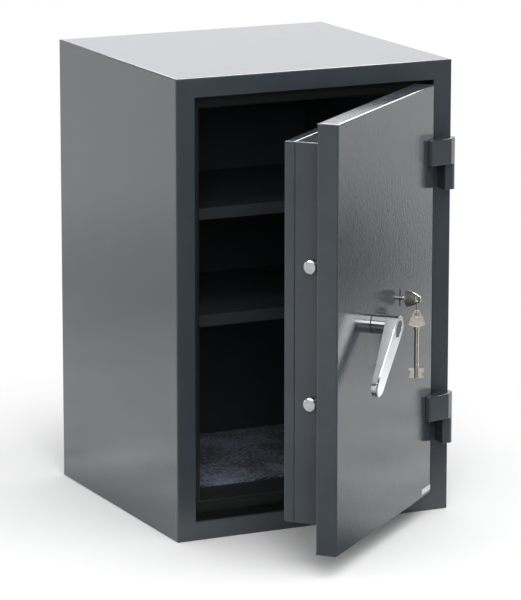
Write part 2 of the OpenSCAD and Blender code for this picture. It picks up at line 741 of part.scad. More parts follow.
module lever_handle()
    color(chrome) on_handle(lever_angle) {
        difference() {
            union() {
                rod_y(0, 0, -lever_proud + lever_head_t / 2, -neck_gap, lever_head_r - 0.5);
                intersection() {
                    rotate([90, 0, 0]) linear_extrude(lever_proud + e) lever_plan();
                    translate([-body_w / 2, 0, 0]) rotate([90, 0, 90]) linear_extrude(body_w)
                        polygon([[-lever_proud, lever_head_r + e],
                                 [-lever_proud + lever_head_t, lever_head_r + e],
                                 [-lever_proud + lever_head_t, -lever_head_r],
                                 [-lever_proud + lever_tip_t, -lever_length - lever_tip_r - e],
                                 [-lever_proud, -lever_length - lever_tip_r - e]]);
                }
            }
            oval(-lever_proud - e, -lever_proud + inset_depth, 0);
            rod_y(0, 0, -lever_proud + lever_head_t, e, spindle_d / 2);
        }
    }

// The oval on the lever's head, smaller by a gap
module oval(y0, y1, gap)
    translate([0, y1, -inset_drop]) rotate([90, 0, 0]) linear_extrude(y1 - y0)
        polygon([for (i = [0:47]) [(inset_b - gap) * cos(i * 7.5), (inset_a - gap) * sin(i * 7.5)]]);

module lever_inset()
    color([0.16, 0.17, 0.18]) on_handle(lever_angle)
        oval(-lever_proud + inset_depth - inset_proud, -lever_proud + inset_depth, 0.1);

module handle_spindle()
    color(steel) on_handle(lever_angle)
        difference() {
            rod_y(0, 0, -lever_proud + lever_head_t, spindle_end, spindle_d / 2);
            translate([0, slab + free, 0]) rotate([-90, 0, 0]) clip_groove();
        }

module clip_groove()
    rotate_extrude() translate([spindle_d / 2 - clip_groove_d, 0]) square([e, spring_clip_t + 0.2]);

module spindle_clip()
    color(steel) on_handle(lever_angle) translate([0, slab + free, 0]) rotate([-90, 0, 0])
        rotate_extrude() translate([spindle_d / 2 - clip_groove_d, 0.1])
            square([spring_clip_w, spring_clip_t]);

// The crank turns with the handle, and its pin drives the plate
module handle_crank()
    color(steel) on_handle(handle_sweep / 2) {
        y0 = spindle_end - crank_t;
        difference() {
            union() {
                rod_y(0, 0, y0, spindle_end, crank_hub_r);
                rod_y(0, crank_r, y0, spindle_end, crank_pin_d / 2 + crank_wall);
                block([-crank_pin_d / 2 - crank_wall, y0, 0],
                      [crank_pin_d / 2 + crank_wall, spindle_end, crank_r]);
            }
            rod_y(0, 0, 0, box_back, spindle_d / 2);
        }
        rod_y(0, crank_r, spindle_end, plate_y + plate_t + crank_pin_over, crank_pin_d / 2);
    }

// ---------- lock ----------

module lock_case()
    color(steel) on_door() difference() {
        block([key_x - lock_half, slab, lock_lo], [key_x + lock_half, lock_back, lock_hi]);
        block([key_x - lock_half + lock_wall, slab + lock_wall, lock_lo + lock_wall],
              [key_x + lock_half - lock_wall, lock_back + e, lock_hi - lock_wall]);
        keyhole(slab - e, slab + lock_wall + e);
        block([key_x - lock_bolt_w / 2 - free, lock_bolt_y - lock_bolt_t / 2 - free, lock_lo - e],
              [key_x + lock_bolt_w / 2 + free, lock_bolt_y + lock_bolt_t / 2 + free,
               lock_lo + lock_wall + e]);
    }

module lock_cover()
    color(steel) on_door()
        block([key_x - lock_half, lock_back, lock_lo], [key_x + lock_half, lock_back + lock_wall, lock_hi]);

module lock_screws()
    color(steel) on_door() for (x = [-1, 1], z = [lock_lo + lock_screw_in, lock_hi - lock_screw_in])
        rod_y(key_x + x * (lock_half - lock_screw_in), z,
              lock_back + lock_wall, lock_back + lock_wall + lock_screw_t, lock_screw_r);

// Levers of the lock, each with a window in which the key's bits turn
module lock_levers()
    color([0.72, 0.6, 0.32]) on_door() for (i = [0:lever_count - 1]) {
        y = lock_back - bit_length - 1 + i * lever_step;
        difference() {
            block([key_x - lock_half + lock_wall, y, key_z - lever_drop],
                  [key_x + lock_half - lock_wall, y + lever_t, lock_hi - lock_wall]);
            rod_y(key_x, key_z, y - e, y + lever_t + e, lever_window);
            rod_y(key_x + lever_pivot[0], lock_hi - lever_pivot[1], y - e, y + lever_t + e, lever_pivot_r);
        }
    }

module lock_bolt()
    color(steel) on_door()
        block([key_x - lock_bolt_w / 2, lock_bolt_y - lock_bolt_t / 2, lock_bolt_lo],
              [key_x + lock_bolt_w / 2, lock_bolt_y + lock_bolt_t / 2, lock_bolt_hi]);

// ---------- keys and ring ----------

// Half outline of the bow, from its narrow end at 0 down to its base
bow_curve = [for (i = [0:6]) let (t = i / 6)
    [bow_tip + (bow_width / 2 - bow_tip) * pow(sin(90 * t), bow_bulge), -bow_length * bow_base * t]];

module bow_outline()
    difference() {
        polygon(concat([[0, bow_cap], [bow_tip * 0.7, bow_cap * 0.75]], bow_curve,
                       [[key_shaft_d / 2, -bow_length], [-key_shaft_d / 2, -bow_length]],
                       [for (i = [len(bow_curve) - 1:-1:0]) [-bow_curve[i][0], bow_curve[i][1]]],
                       [[-bow_tip * 0.7, bow_cap * 0.75]]));
        polygon([[-bow_slot_half[0], -bow_slot[0]], [bow_slot_half[0], -bow_slot[0]],
                 [bow_slot_half[1], -bow_slot[1]], [-bow_slot_half[1], -bow_slot[1]]]);
    }

// Two stepped bits, one at each side of the shaft's end
module bits_outline() {
    half = bit_span / 2;
    at = bit_steps * bit_length;
    polygon([[-half, 0], [-half, at[1]], [-half + bit_cuts[1], at[1]], [-half + bit_cuts[1], at[3]],
             [-half, at[3]], [-half, bit_length], [half, bit_length], [half, at[4]],
             [half - bit_cuts[2], at[4]], [half - bit_cuts[2], at[2]], [half - bit_cuts[0], at[2]],
             [half - bit_cuts[0], at[0]], [half, at[0]], [half, 0]]);
}

// A key that hangs with its bow up, its narrow end at z = 0 and its flat in the YZ plane
module key_shape() {
    rotate([90, 0, 90]) linear_extrude(bow_t, center = true) bow_outline();
    translate([0, 0, -key_length]) cylinder(h = key_length - bow_length, r = key_shaft_d / 2);
    translate([0, 0, -bow_length - collar_l]) cylinder(h = collar_l, r = key_shaft_d / 2 + 0.7);
    translate([0, 0, -key_length]) rotate([90, 0, 90]) linear_extrude(bit_t, center = true) bits_outline();
}

module lock_key()
    color(steel) on_door() translate([key_x, -key_proud, key_z]) rotate([90, 0, 0]) key_shape();

// The ring passes through both bows, and is turned a little from the plane of the door
module on_ring() on_door() translate([key_x, ring_y, 0]) rotate([0, 0, ring_tilt]) children();

module key_ring()
    color(chrome) on_ring() translate([0, 0, ring_mid]) rotate([90, 0, 0])
        rotate_extrude() translate([ring_d / 2, 0]) circle(ring_wire / 2);

module spare_key()
    color(steel) on_ring() translate([0, 0, spare_top]) key_shape();

// ---------- choice of node ----------

outer_shell();
base_plate();
rear_panel();
wall_fill();
rebate_frame();
fire_seal();
inner_liner();
floor_plate();
strike_cups();
dog_pockets();
anchor_sleeves();
shelf_rails();
shelf_clips();
lower_shelf();
upper_shelf();
floor_felt();
lower_hinge_block();
upper_hinge_block();
lower_hinge_pin();
upper_hinge_pin();
hinge_washers();
door_skin();
door_fill();
hard_plate();
door_back_plate();
lower_hinge_leaf();
upper_hinge_leaf();
bolt_box();
bolt_box_cover();
cover_posts();
cover_screws();
dog_bolts();
bolt_bushes();
guide_studs();
spindle_bush();
key_guide();
lock_case();
lock_cover();
lock_screws();
lock_levers();
blank_label();
locking_bolts();
bolt_bar();
drive_plate();
lever_handle();
lever_inset();
handle_spindle();
handle_crank();
spindle_clip();
lock_bolt();
lock_key();
key_ring();
spare_key();
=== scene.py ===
# %% [markdown]
# This notebook dresses a small fire-resistant safe for a picture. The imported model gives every
# steel part in its true place and size, and nothing here moves it. What is added is what a maker
# adds last: paint, plating, felt, rounded edges, keys with real bows, and the light of a studio.

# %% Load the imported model
import json
import math

import bmesh
import bpy
from mathutils import Matrix, Vector, noise


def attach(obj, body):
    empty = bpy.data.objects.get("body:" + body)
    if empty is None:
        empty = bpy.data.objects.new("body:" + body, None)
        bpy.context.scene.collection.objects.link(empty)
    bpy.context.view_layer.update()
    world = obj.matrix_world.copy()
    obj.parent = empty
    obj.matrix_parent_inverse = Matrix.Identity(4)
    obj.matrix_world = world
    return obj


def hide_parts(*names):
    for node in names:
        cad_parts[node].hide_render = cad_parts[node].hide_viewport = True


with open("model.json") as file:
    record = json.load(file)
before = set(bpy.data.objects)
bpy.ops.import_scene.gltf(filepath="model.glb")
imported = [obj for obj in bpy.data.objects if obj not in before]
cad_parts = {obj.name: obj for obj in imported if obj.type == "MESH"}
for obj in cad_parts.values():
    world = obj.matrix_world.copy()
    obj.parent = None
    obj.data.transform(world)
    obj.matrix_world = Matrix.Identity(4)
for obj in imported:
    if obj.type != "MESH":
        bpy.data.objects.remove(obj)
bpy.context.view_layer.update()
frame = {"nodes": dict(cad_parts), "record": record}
print("CAD nodes:", len(frame["nodes"]))

# %% [markdown]
# The drawings below are in millimetres, as on a workshop sheet. The cabinet is drawn with y = 0 at
# its front face. The door is drawn closed and then swung round its hinge pins, so that the numbers
# on the drawing stay whole and a piece of the door is never fitted by eye.

# %% Places of the drawings
MM = 0.001
HALF_DEPTH = 216  # from the middle of the cabinet to its front face
HINGE = (212, -15)  # x and y of the pins
DOOR_OPEN = math.radians(41.4)
HANDLE_AXIS = (-50, 344.5)  # x and z on the door
LEVER_ANGLE = math.radians(45)
KEY_AXIS = (55, 362)  # x and z on the door
KEY_PROUD = 31.5  # how far the key in the lock stands out

in_cabinet = Matrix.Scale(MM, 4) @ Matrix.Translation((0, -HALF_DEPTH, 0))
on_door = (
    in_cabinet
    @ Matrix.Translation((*HINGE, 0))
    @ Matrix.Rotation(DOOR_OPEN, 4, "Z")
    @ Matrix.Translation((-HINGE[0], -HINGE[1], 0))
)
on_handle = (
    on_door
    @ Matrix.Translation((HANDLE_AXIS[0], 0, HANDLE_AXIS[1]))
    @ Matrix.Rotation(LEVER_ANGLE, 4, "Y")
)
print("handle axis is at", [round(v, 4) for v in on_handle.translation])

# %% [markdown]
# A picture of a product is taken from far off with a long lens, so that upright edges stay nearly
# upright. This one stands about 5.9 m away, looks down 12 degrees and is turned 26 degrees.

# %% Camera
CAMERA_PLACE = (-2.47296, -5.16739, 1.55735)
CAMERA_TURN, CAMERA_DOWN, CAMERA_ROLL = -0.44854, 0.215618, 0.00056
SENSOR, LENS, FARTHEST = 36, 230.06, 200

camera_data = bpy.data.cameras.new("camera")
camera = bpy.data.objects.new("camera", camera_data)
bpy.context.collection.objects.link(camera)
camera_data.sensor_width = SENSOR
camera_data.lens = LENS
camera_data.clip_end = FARTHEST
camera.matrix_world = (
    Matrix.Translation(CAMERA_PLACE)
    @ Matrix.Rotation(CAMERA_TURN, 4, "Z")
    @ Matrix.Rotation(math.pi / 2 - CAMERA_DOWN, 4, "X")
    @ Matrix.Rotation(CAMERA_ROLL, 4, "Z")
)
bpy.context.scene.camera = camera
print("camera is", round(Vector(CAMERA_PLACE).length, 2), "m from the middle of the safe's foot")

# %% [markdown]
# Every finish is a small net of nodes. One helper turns the hex colours of a paint chart into the
# linear numbers that a renderer works with, one adds a node with its settings and its links, and
# one starts a finish. The last four only give the numbers of a node, in millimetres where they are
# sizes, so that the nets below read like a recipe.

# %% Helpers for finishes


def colour(code):
    """Linear colour of an sRGB hex value."""
    parts = [int(code[i : i + 2], 16) / 255 for i in (1, 3, 5)]
    return (*[c / 12.92 if c <= 0.04045 else ((c + 0.055) / 1.055) ** 2.4 for c in parts], 1)


def add(tree, kind, values=None, links=None, **settings):
    """One node, with the values of its sockets, the links into it and its other settings.

    A link comes from a socket, or from a node, which stands for its first output.
    """
    node = tree.nodes.new("ShaderNode" + kind)
    for key, value in settings.items():
        setattr(node, key, value)
    for key, value in (values or {}).items():
        node.inputs[key].default_value = value
    for key, source in (links or {}).items():
        socket = source if isinstance(source, bpy.types.NodeSocket) else source.outputs[0]
        tree.links.new(socket, node.inputs[key])
    return node


def new_finish(name):
    """An empty finish: the material, its node tree and its Object coordinates."""
    finish = bpy.data.materials.new(name)
    finish.use_nodes = True
    tree = finish.node_tree
    tree.nodes.clear()
    return finish, tree, add(tree, "TexCoord").outputs["Object"]


def blobs(size_mm, detail=2.0):
    """Numbers of a noise whose blobs are about size_mm across."""
    return {"Scale": 1 / (size_mm * MM), "Detail": detail, "Roughness": 0.55}


def between(low, high, start=0.3, end=0.7):
    """Numbers of a range: start to end, where most of a noise lies, become low to high."""
    return {"From Min": start, "From Max": end, "To Min": low, "To Max": high}


def tones(first, second):
    """Numbers of a mix that goes from one hex colour to another."""
    return {6: colour(first), 7: colour(second)}


def height(depth_mm):
    """Numbers of a bump that is depth_mm high."""
    return {"Strength": 1, "Distance": depth_mm * MM}


# %% [markdown]
# The body is steel sheet with a baked polyester powder coat. The powder melts into a skin that is
# glossy but never flat: it has a fine orange peel, with bumps about 2 mm across and a few
# hundredths of a millimetre high. That peel breaks a reflection up into grain, which is what the
# eye reads as powder coat. On the large outer faces so fine a peel wouldn't show from this far, so
# there its bumps are drawn about twice as wide and several times as high as they are. The inside
# has the same powder in a darker tone. The rebate of the door is made nearly black, partly as a
# dark paint and partly as painted shade: its blackness stands in for the shade that the door and
# the cabinet cast into the opening. One recipe serves all three.

# %% Powder coat
CLOUD_MM, GLOSS_SPOT_MM = 60, 9
FINE_WIDTH, FINE_HEIGHT = 0.35, 0.3


def powder_coat(name, dark, light, low, high, peel_mm, peel_depth):
    """A coat between two tones, with a roughness from low to high and bumps of a given size."""
    finish, tree, place = new_finish(name)
    cloud = add(tree, "TexNoise", blobs(CLOUD_MM), {"Vector": place})
    cloud = add(tree, "MapRange", between(0, 1), {"Value": cloud})
    peel = add(tree, "TexNoise", blobs(peel_mm, 1.5), {"Vector": place})
    fine = add(tree, "TexNoise", blobs(peel_mm * FINE_WIDTH, 1.0), {"Vector": place})
    bumps = add(tree, "Bump", height(peel_depth), {"Height": peel})
    bumps = add(
        tree, "Bump", height(peel_depth * FINE_HEIGHT), {"Height": fine, "Normal": bumps}
    )
    base = add(tree, "Mix", tones(dark, light), {0: cloud}, data_type="RGBA").outputs[2]
    spots = add(tree, "TexNoise", blobs(GLOSS_SPOT_MM), {"Vector": place})
    dullness = add(tree, "MapRange", between(low, high), {"Value": spots})
    shader = add(
        tree,
        "BsdfPrincipled",
        {"IOR": 1.5},
        {"Base Color": base, "Roughness": dullness, "Normal": bumps},
    )
    add(tree, "OutputMaterial", {}, {"Surface": shader})
    print(name, "has a peel of", peel_mm, "mm")
    return finish


graphite_powder_coat = powder_coat(
    "graphite_powder_coat", "#30363b", "#343a3f", 0.1, 0.14, 4.4, 0.19
)
dark_powder_coat = powder_coat("dark_powder_coat", "#25292c", "#2a2e31", 0.4, 0.48, 1.6, 0.03)
# Nearly black coat of the rebate: partly dark paint, partly painted shade of the door and cabinet.
black_paint_and_shade_coat = powder_coat("black_paint_and_shade_coat", "#111314", "#17191a", 0.3, 0.38, 1.6, 0.03)

# %% [markdown]
# The metals differ in how they were finished. The lever is cast zinc, polished and chromium
# plated. The keys are nickel plated brass, which is warmer and softer. The bolts are bright turned
# bar, the bushes and levers of the lock are brass, and its plates and screws are zinc plated. The
# hard plate keeps the dark skin of its hardening. A plated metal shows small smudges as a change of
# roughness more than of colour, and polishing lines as fine grooves. Real lines are a few
# hundredths of a millimetre wide, so they are drawn half a millimetre to a millimetre wide, as
# coarse as they need to be to show.

# %% Metals
WEAR_SHARE = 0.6
ALONG_Z = (1, 1, 0.08)


def plated_metal(name, dark, light, low, high, smudge_mm, line_mm=0, line_depth=0):
    """A metal with smudges of a given size and, if it has a line width, polishing lines along Z."""
    finish, tree, place = new_finish(name)
    smudge = add(tree, "TexNoise", blobs(smudge_mm, 3), {"Vector": place})
    shade = add(tree, "MapRange", between(0, 1), {"Value": smudge})
    base = add(tree, "Mix", tones(dark, light), {0: shade}, data_type="RGBA").outputs[2]
    wear = add(tree, "TexNoise", blobs(smudge_mm * WEAR_SHARE, 4), {"Vector": place})
    dullness = add(tree, "MapRange", between(low, high), {"Value": wear})
    links = {"Base Color": base, "Roughness": dullness}
    if line_mm:
        drawn_out = add(tree, "Mapping", {"Scale": ALONG_Z}, {"Vector": place})
        lines = add(tree, "TexNoise", blobs(line_mm, 2), {"Vector": drawn_out})
        links["Normal"] = add(tree, "Bump", height(line_depth), {"Height": lines})
    shader = add(tree, "BsdfPrincipled", {"Metallic": 1}, links)
    add(tree, "OutputMaterial", {}, {"Surface": shader})
    print(name, "has smudges of", smudge_mm, "mm")
    return finish


chromium_plate = plated_metal("chromium_plate", "#dfe1e4", "#eceef0", 0.05, 0.11, 14)
nickel_plate = plated_metal("nickel_plate", "#d0cabe", "#e3ded3", 0.09, 0.16, 6, 0.8, 0.004)
bright_bar = plated_metal("bright_turned_bar", "#c3c5c8", "#dcdee0", 0.2, 0.3, 8, 0.5, 0.01)
zinc_plate = plated_metal("zinc_plate", "#8d9298", "#a9aeb4", 0.3, 0.42, 10, 1.2, 0.01)
turned_brass = plated_metal("turned_brass", "#a98a4b", "#c0a262", 0.28, 0.38, 8, 0.6, 0.01)
hardened_plate = plated_metal("hardened_plate", "#4c4e52", "#5c5f63", 0.4, 0.5, 12)

# %% [markdown]
# The dull things come next: a strip that swells in a fire, the cast filling of the walls, the
# satin plastic inset of the lever and a plain foil label. None of them is a clear mirror. Small
# lumps in the colour, the roughness and the surface keep them from looking like flat paint.

# %% Dull finishes


def dull_finish(name, dark, light, low, high, size_mm, depth_mm):
    """A finish between two tones, with a roughness from low to high and lumps of a given size."""
    finish, tree, place = new_finish(name)
    lumps = add(tree, "TexNoise", blobs(size_mm, 4), {"Vector": place})
    shade = add(tree, "MapRange", between(0, 1), {"Value": lumps})
    base = add(tree, "Mix", tones(dark, light), {0: shade}, data_type="RGBA").outputs[2]
    dullness = add(tree, "MapRange", between(low, high), {"Value": lumps})
    bumps = add(tree, "Bump", height(depth_mm), {"Height": lumps})
    shader = add(
        tree,
        "BsdfPrincipled",
        {"IOR": 1.48},
        {"Base Color": base, "Roughness": dullness, "Normal": bumps},
    )
    add(tree, "OutputMaterial", {}, {"Surface": shader})
    print(name, "has lumps of", size_mm, "mm")
    return finish


swelling_strip = dull_finish("swelling_strip", "#0c0d0e", "#141516", 0.7, 0.85, 1.5, 0.1)
cast_filling = dull_finish("cast_filling", "#a5a29a", "#bab7ae", 0.85, 0.95, 4, 0.3)
satin_plastic = dull_finish("satin_plastic", "#2c2f32", "#34373a", 0.35, 0.45, 0.6, 0.01)
foil_label = dull_finish("foil_label", "#b4b8bb", "#c6c9cc", 0.25, 0.35, 3, 0.004)

# %% [markdown]
# Needled felt is a fleece of dark and light fibres that barbed needles have matted. The eye reads
# it by its mottling: light tufts on a nearly black ground, drawn out a little across the mat. A
# fibre is a few hundredths of a millimetre thick, far too fine to show, so tufts of 4.6 mm and
# wisps of 2.2 mm are drawn in its place. A slow cloud makes some parts of the mat lighter than
# others.

# %% Needled felt
FELT_CLOUD_MM, TUFT_MM, WISP_MM = 70, 4.6, 2.2
TUFT_STRETCH, WISP_STRETCH = (0.7, 1, 1), (0.35, 1, 1)
CLOUD_SHARE, WISP_SHARE = 0.7, 0.4
DARK_TO_LIGHT = (0.92, 1.24)
FELT_DEPTH_MM = 0.7

felt, tree, place = new_finish("needled_felt")
cloud = add(tree, "TexNoise", blobs(FELT_CLOUD_MM, 2), {"Vector": place})
drawn_out = add(tree, "Mapping", {"Scale": TUFT_STRETCH}, {"Vector": place})
tuft = add(tree, "TexNoise", blobs(TUFT_MM, 3), {"Vector": drawn_out})
drawn_out = add(tree, "Mapping", {"Scale": WISP_STRETCH}, {"Vector": place})
wisp = add(tree, "TexNoise", blobs(WISP_MM, 4), {"Vector": drawn_out})
pile = add(tree, "Math", {1: CLOUD_SHARE}, {0: cloud, 2: tuft}, operation="MULTIPLY_ADD")
pile = add(tree, "Math", {1: WISP_SHARE}, {0: wisp, 2: pile}, operation="MULTIPLY_ADD")
shade = add(tree, "MapRange", between(0, 1, *DARK_TO_LIGHT), {"Value": pile})
base = add(tree, "Mix", tones("#050608", "#717790"), {0: shade}, data_type="RGBA").outputs[2]
bumps = add(tree, "Bump", height(FELT_DEPTH_MM), {"Height": pile})
shader = add(
    tree,
    "BsdfPrincipled",
    {"Roughness": 0.95, "Sheen Weight": 0.12, "Sheen Roughness": 0.5},
    {"Base Color": base, "Normal": bumps},
)
add(tree, "OutputMaterial", {}, {"Surface": shader})
print("needled_felt has tufts of", TUFT_MM, "mm")

# %% [markdown]
# Each CAD node now gets the finish of what it is made of.

# %% Dress the CAD nodes
DRESS = {
    graphite_powder_coat: "outer_shell base_plate rear_panel lower_hinge_block upper_hinge_block "
    "lower_hinge_leaf upper_hinge_leaf door_skin door_back_plate bolt_box bolt_box_cover",
    dark_powder_coat: "inner_liner floor_plate shelf_rails lower_shelf upper_shelf",
    # the rebate's near black is partly painted shade
    black_paint_and_shade_coat: "rebate_frame",
    felt: "floor_felt",
    swelling_strip: "fire_seal",
    cast_filling: "wall_fill door_fill",
    satin_plastic: "lever_inset",
    foil_label: "blank_label",
    chromium_plate: "lever_handle",
    nickel_plate: "lock_key spare_key key_ring",
    bright_bar: "locking_bolts dog_bolts",
    turned_brass: "bolt_bushes spindle_bush lock_levers",
    hardened_plate: "hard_plate",
    zinc_plate: "strike_cups dog_pockets anchor_sleeves shelf_clips hinge_washers lower_hinge_pin "
    "upper_hinge_pin cover_posts cover_screws guide_studs key_guide lock_case lock_cover "
    "lock_screws bolt_bar drive_plate handle_spindle handle_crank spindle_clip lock_bolt",
}
finish_of = {n: finish for finish, names in DRESS.items() for n in names.split()}
for node_name, finish in finish_of.items():
    node_slots = frame["nodes"][node_name].data.materials
    node_slots.clear()
    node_slots.append(finish)
print("undressed:", sorted(set(frame["nodes"]) - set(finish_of)))

# %% [markdown]
# A new piece is made in a bmesh, which is Blender's workbench for meshes, and then put down as an
# object. Its place is in its mesh, as it is for a CAD node. A face is shaded smooth, and an edge
# that turns by more than 35 degrees, or another angle if one is given, stays crisp. The large faces
# of a steel part are flat, so their direction has to win over that of the narrow bevels beside
# them: that is what the modifier does.

# %% Helpers for pieces
SAME_PLACE = 1e-6
CRISP = 35  # degrees: an edge that turns by more stays crisp
SHARP, SQUARE = 40, 60  # degrees: an edge that turns by more is rounded

body_of_node = {n: b for b, names in frame["record"]["behaviour"]["bodies"].items() for n in names}


def put_down(name, bm, node_name, place=None, crisp=CRISP):
    """A finished piece that stands for a CAD node and moves with that node's body."""
    if place:
        bmesh.ops.transform(bm, matrix=place, verts=bm.verts)
    bmesh.ops.remove_doubles(bm, verts=bm.verts, dist=SAME_PLACE)
    bmesh.ops.recalc_face_normals(bm, faces=bm.faces)
    for face in bm.faces:
        face.smooth = True
    for edge in bm.edges:
        edge.smooth = len(edge.link_faces) == 2 and edge.calc_face_angle(0) < math.radians(crisp)
    mesh = bpy.data.meshes.new(name)
    bm.to_mesh(mesh)
    bm.free()
    piece = bpy.data.objects.new(name, mesh)
    bpy.context.collection.objects.link(piece)
    mesh.materials.append(finish_of[node_name])
    even = piece.modifiers.new("even", "WEIGHTED_NORMAL")
    even.keep_sharp = True
    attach(piece, body_of_node[node_name])
    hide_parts(node_name)
    print(name, len(mesh.polygons), "faces")
    return piece


def edges_between(bm, least, test=None):
    """Edges that turn by more than the least angle, in degrees, and pass the test."""
    return [
        edge
        for edge in bm.edges
        if len(edge.link_faces) == 2
        and edge.calc_face_angle(0) > math.radians(least)
        and (test is None or test(edge))
    ]


def round_edges(bm, edges, radius, segments=3, clamp=True):
    """Edges become round strips of a few segments."""
    bmesh.ops.bevel(
        bm,
        geom=edges,
        offset=radius,
        offset_type="OFFSET",
        affect="EDGES",
        segments=segments,
        profile=0.5,
        material=-1,
        clamp_overlap=clamp,
    )


def verts_in(geometry):
    """The vertices among what an operator gives back."""
    return [item for item in geometry if isinstance(item, bmesh.types.BMVert)]


# %% [markdown]
# Sheet and bar never have knife edges: folding, welding and a tenth of a millimetre of powder round
# them off, and the line of light that runs along a rounded edge is what makes steel look thick. A
# copy of the CAD mesh is merged, its flat areas are joined again, and its sharp edges are bevelled.
# On a thin sheet box only the outline is, because an edge and its neighbour on the other side of
# the sheet leave no room for two roundings. On a hinge only the straight edges are, and not the
# rims of its bores. The operator's own clamp would hold every rounding to the shortest edge near
# any of them, and a facet of a bore is only half a millimetre long, so it is off in both cases.

# %% Rounding of a steel part
MERGE_DISTANCE = 2e-6
FLAT = math.radians(0.5)
ON_SIDE_MM = 0.1


def on_outline(bm, place):
    """A test for edges that lie where two sides of the piece's own box meet."""
    inward = place.inverted()
    points = [inward @ vert.co for vert in bm.verts]
    box = [(axis, end(p[axis] for p in points)) for axis in range(3) for end in (min, max)]

    def sides(vert):
        point = inward @ vert.co
        return {(axis, limit) for axis, limit in box if abs(point[axis] - limit) < ON_SIDE_MM}

    def two_sides_meet(edge):
        return len(sides(edge.verts[0]) & sides(edge.verts[1])) > 1

    return two_sides_meet


def rounded_copy(node_name, radius_mm, segments=3, crisp=CRISP, outline_of=None, shortest_mm=0):
    """A copy of a CAD node with round edges: all, those of its outline or those of some length."""
    bm = bmesh.new()
    bm.from_mesh(frame["nodes"][node_name].data)
    bmesh.ops.remove_doubles(bm, verts=bm.verts, dist=MERGE_DISTANCE)
    bmesh.ops.dissolve_limit(
        bm, angle_limit=FLAT, verts=bm.verts, edges=bm.edges, use_dissolve_boundaries=False
    )

    def long_enough(edge):
        return edge.calc_length() > shortest_mm * MM

    wanted = on_outline(bm, outline_of) if outline_of else long_enough
    clamp = not (outline_of or shortest_mm)
    round_edges(bm, edges_between(bm, SHARP, wanted), radius_mm * MM, segments, clamp)
    put_down(node_name + "_rounded", bm, node_name, crisp=crisp)


# %% Rounded steel parts
for node_name, radius in (("lower_shelf", 0.5), ("upper_shelf", 0.5), ("rebate_frame", 0.8)):
    rounded_copy(node_name, radius)
for node_name in ("lower_hinge_block", "upper_hinge_block"):
    rounded_copy(node_name, radius_mm=1.2, shortest_mm=4)
for node_name in ("lower_hinge_leaf", "upper_hinge_leaf"):
    rounded_copy(node_name, radius_mm=1.8, segments=5, crisp=20, shortest_mm=4)
for node_name, radius, place in (
    ("bolt_box", 1.6, on_door),
    ("bolt_box_cover", 1.6, on_door),
    ("door_skin", 2.8, on_door),
    ("outer_shell", 1.8, in_cabinet),
):
    rounded_copy(node_name, radius, outline_of=place)

# %% [markdown]
# The lever is a zinc casting. On a workshop sheet it is a bar that tapers from a round head to a
# round end, which is the hull of a few circles, so that is how it is made: circles are put where
# the sheet has them, and the hull operator stretches a skin over them. A smaller circle in front of
# the end gives it its blunt nose. The bevel is what the polisher leaves on every edge.

# %% Lever bar
HEAD_R, END_R = 15.5, 13.5
HEAD_THICKNESS, END_THICKNESS = 17.5, 9.5
NOSE_DEPTH, NOSE_TAPER = 2, 1.4
LEVER_LENGTH = 105
LEVER_FRONT = -40
POLISHED_R = 1.3
CIRCLE_STEPS = 56
NEARLY_FLAT = math.radians(0.6)


def upright(x, y, z):
    """Puts a shape that was made flat round the Z axis upright in the door's plane, at x, y, z."""
    return Matrix.Translation((x, y, z)) @ Matrix.Rotation(math.pi / 2, 4, "X")


def hull_of_circles(circles):
    """A skin over circles, each given as its middle's z, its distance y and its radius."""
    bm = bmesh.new()
    for z, y, radius in circles:
        bmesh.ops.create_circle(bm, segments=CIRCLE_STEPS, radius=radius, matrix=upright(0, y, z))
    hull = bmesh.ops.convex_hull(bm, input=bm.verts, use_existing_faces=False)
    unused = set(verts_in(hull["geom_interior"] + hull["geom_unused"]))
    bmesh.ops.delete(bm, geom=list(unused), context="VERTS")
    bmesh.ops.dissolve_limit(bm, angle_limit=NEARLY_FLAT, verts=bm.verts, edges=bm.edges)
    return bm


bar = hull_of_circles(
    [
        (0, LEVER_FRONT, HEAD_R),
        (0, LEVER_FRONT + HEAD_THICKNESS, HEAD_R),
        (-LEVER_LENGTH + NOSE_DEPTH, LEVER_FRONT, END_R - NOSE_TAPER),
        (-LEVER_LENGTH, LEVER_FRONT + NOSE_DEPTH, END_R),
        (-LEVER_LENGTH, LEVER_FRONT + END_THICKNESS, END_R),
    ]
)
round_edges(bar, edges_between(bar, SHARP), POLISHED_R, 4)
print("bar:", len(bar.faces), "faces")

# %% [markdown]
# Two things are cut out of the casting: the shallow oval pocket of the inset, and a small dimple in
# the end. A boolean cuts cleanly whatever faces it meets. The rim of the pocket is bevelled after
# the cut, and that narrow bevel gives the bright oval line.

# %% Helper for cuts


def as_object(bm, name):
    """A plain object of a bmesh, for a modifier to work on."""
    mesh = bpy.data.meshes.new(name)
    bm.to_mesh(mesh)
    bm.free()
    piece = bpy.data.objects.new(name, mesh)
    bpy.context.collection.objects.link(piece)
    return piece


def cut_away(bm, *cutters):
    """The bmesh without the space of the cutters."""
    whole = as_object(bm, "whole")
    tools = [as_object(cutter, "cutter") for cutter in cutters]
    for tool in tools:
        cut = whole.modifiers.new("cut", "BOOLEAN")
        cut.operation, cut.solver, cut.object = "DIFFERENCE", "EXACT", tool
    evaluated = whole.evaluated_get(bpy.context.evaluated_depsgraph_get())
    done = bpy.data.meshes.new_from_object(evaluated)
    result = bmesh.new()
    result.from_mesh(done)
    for used in [whole, *tools]:
        bpy.data.meshes.remove(used.data)
    bpy.data.meshes.remove(done)
    bmesh.ops.dissolve_limit(
        result, angle_limit=NEARLY_FLAT, verts=result.verts, edges=result.edges
    )
    return result


# %% Pocket and dimple
INSET_HALF = (9.2, 14)
INSET_DROP = 4.65
POCKET_DEPTH = 1.6
POCKET_RIM_R = 0.6
DIMPLE_R = 2.6
DIMPLE_PLACE = (0, LEVER_FRONT + 6.1, -LEVER_LENGTH - END_R - 0.9)
ON_FACE, JUST_OUTSIDE = 0.01, 1.02

